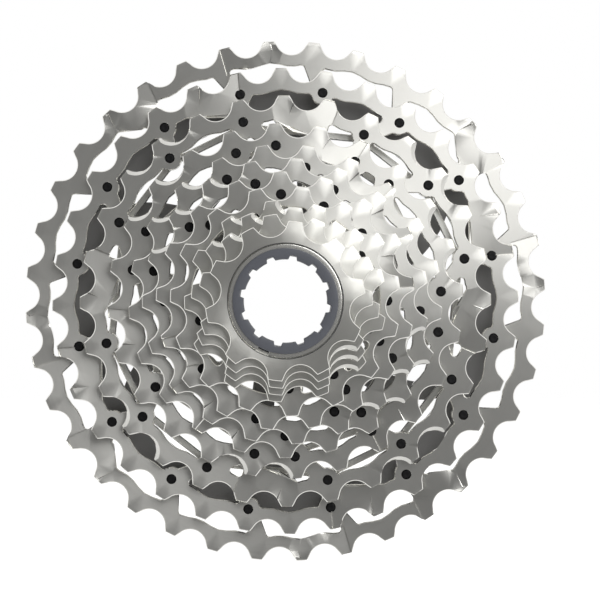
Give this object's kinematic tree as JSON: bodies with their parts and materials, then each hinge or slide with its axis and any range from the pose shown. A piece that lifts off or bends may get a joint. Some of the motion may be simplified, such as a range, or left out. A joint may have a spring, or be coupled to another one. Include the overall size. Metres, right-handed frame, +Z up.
{
  "type": "bicycle cassette",
  "caption": "Bicycle rear cassette: pinned steel sprockets stepping down in size to a machined cluster, on a dark spoked carrier, with a black lock tube that turns inside.",
  "frame": {"origin": "on the axle, in the plane of the carrier's rear face, which seats on the freehub", "axes": "Y along the axle with the small sprockets towards -Y and the wheel towards +Y, Z up, X to the right when seen from the small end"},
  "size_m": [0.1456, 0.0447, 0.1456],
  "materials": {
    "sprocket_steel": "nickel-plated stamped steel, satin, brushed round the axle",
    "cluster_steel": "nickel-plated machined steel, satin with turning marks",
    "carrier_alloy": "dark grey anodised aluminium, fine blasted",
    "tube_black": "black anodised aluminium, satin",
    "clip_steel": "bright spring steel",
    "pin_black": "blackened steel"
  },
  "bodies": {
    "cassette": {"sprocket_36t": "sprocket_steel", "sprocket_32t": "sprocket_steel", "sprocket_28t": "sprocket_steel", "sprocket_24t": "sprocket_steel", "sprocket_21t": "sprocket_steel", "sprocket_19t": "sprocket_steel", "sprocket_17t": "sprocket_steel", "sprocket_15t": "sprocket_steel", "mini_cluster": "cluster_steel", "carrier": "carrier_alloy", "pins_32_36": "pin_black", "pins_28_32": "pin_black", "pins_24_28": "pin_black", "pins_21_24": "pin_black", "pins_19_21": "pin_black", "pins_17_19": "pin_black", "pins_15_17": "pin_black"},
    "lock_tube": {"lock_tube": "tube_black", "retaining_clip": "clip_steel"}
  },
  "joints": [
    {"name": "lock_tube_spin", "type": "hinge", "parent": "cassette", "child": "lock_tube", "pos_m": [0, -0.02, 0], "axis": [0, -1, 0], "continuous": true}
  ]
}
